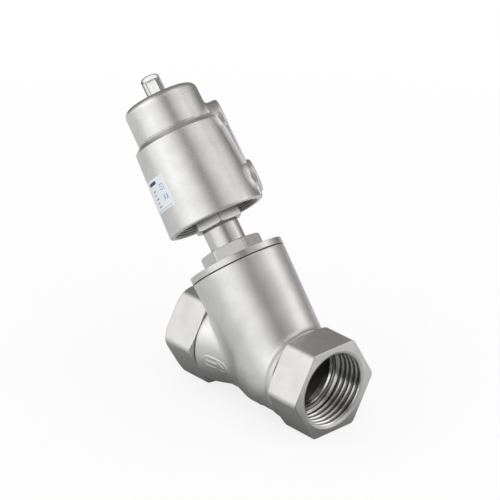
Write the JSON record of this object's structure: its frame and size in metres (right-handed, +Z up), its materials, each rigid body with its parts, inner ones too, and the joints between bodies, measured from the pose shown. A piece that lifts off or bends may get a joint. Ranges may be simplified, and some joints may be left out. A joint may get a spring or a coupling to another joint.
{
  "type": "pneumatic angle-seat piston valve",
  "caption": "Y-shaped stainless pipe valve with threaded ports and a leaning round pneumatic actuator that lifts a sprung plug off its seat.",
  "frame": {"origin": "centre of the inlet port's face, on the pipe's axis (the port's threaded wall starts 1 mm in)", "axes": "+X along the pipe from inlet to outlet, +Z up; the actuator's axis lies in the XZ plane and leans 50 degrees from the pipe, back over the inlet"},
  "size_m": [0.1697, 0.0639, 0.1771],
  "materials": {
    "cast_steel": "bead-blasted stainless casting",
    "turned_steel": "turned stainless",
    "spring_steel": "drawn wire",
    "ptfe": "smooth",
    "gasket": "matt",
    "rubber": "matt",
    "bronze": "turned",
    "piston_metal": "anodised",
    "clear_plastic": "clear polycarbonate",
    "indicator": "moulded",
    "label": "printed foil"
  },
  "bodies": {
    "valve_base": {"valve_body": "cast_steel", "body_gasket": "gasket", "bonnet": "turned_steel", "packing_nut": "turned_steel", "packing_spring": "spring_steel", "packing_support_ring": "turned_steel", "packing_lower_ring": "ptfe", "packing_vee_ring_1": "ptfe", "packing_vee_ring_2": "ptfe", "packing_vee_ring_3": "ptfe", "packing_upper_ring": "ptfe", "stem_guide_bush": "bronze", "stem_o_ring": "rubber", "stem_seal_cap": "turned_steel", "swivel_bearing_ring": "gasket", "retaining_ring": "spring_steel"},
    "actuator_head": {"actuator_housing": "cast_steel", "lower_cover": "turned_steel", "cover_o_ring": "rubber", "spigot_o_ring": "rubber", "label": "label", "indicator_dome": "clear_plastic", "dome_o_ring": "rubber", "return_spring_outer": "spring_steel", "return_spring_inner": "spring_steel"},
    "stem_group": {"stem": "turned_steel", "piston": "piston_metal", "piston_seal": "rubber", "piston_guide_ring": "ptfe", "stem_joint_o_ring": "rubber", "piston_washer": "turned_steel", "piston_nut": "turned_steel", "indicator_rod": "indicator", "plug": "turned_steel", "disc_seal": "ptfe", "disc_retainer": "turned_steel", "disc_nut": "turned_steel"}
  },
  "joints": [
    {"name": "actuator_swivel", "type": "hinge", "parent": "valve_base", "child": "actuator_head", "pos_m": [0.076, 0, 0], "axis": [-0.6428, 0, 0.766], "continuous": true},
    {"name": "stem_stroke", "type": "slide", "parent": "valve_base", "child": "stem_group", "axis": [-0.6428, 0, 0.766], "range_m": [0, 0.013], "stiffness_N_per_m": 6250, "springref_m": -0.04, "deforming": ["return_spring_outer", "return_spring_inner"]}
  ]
}
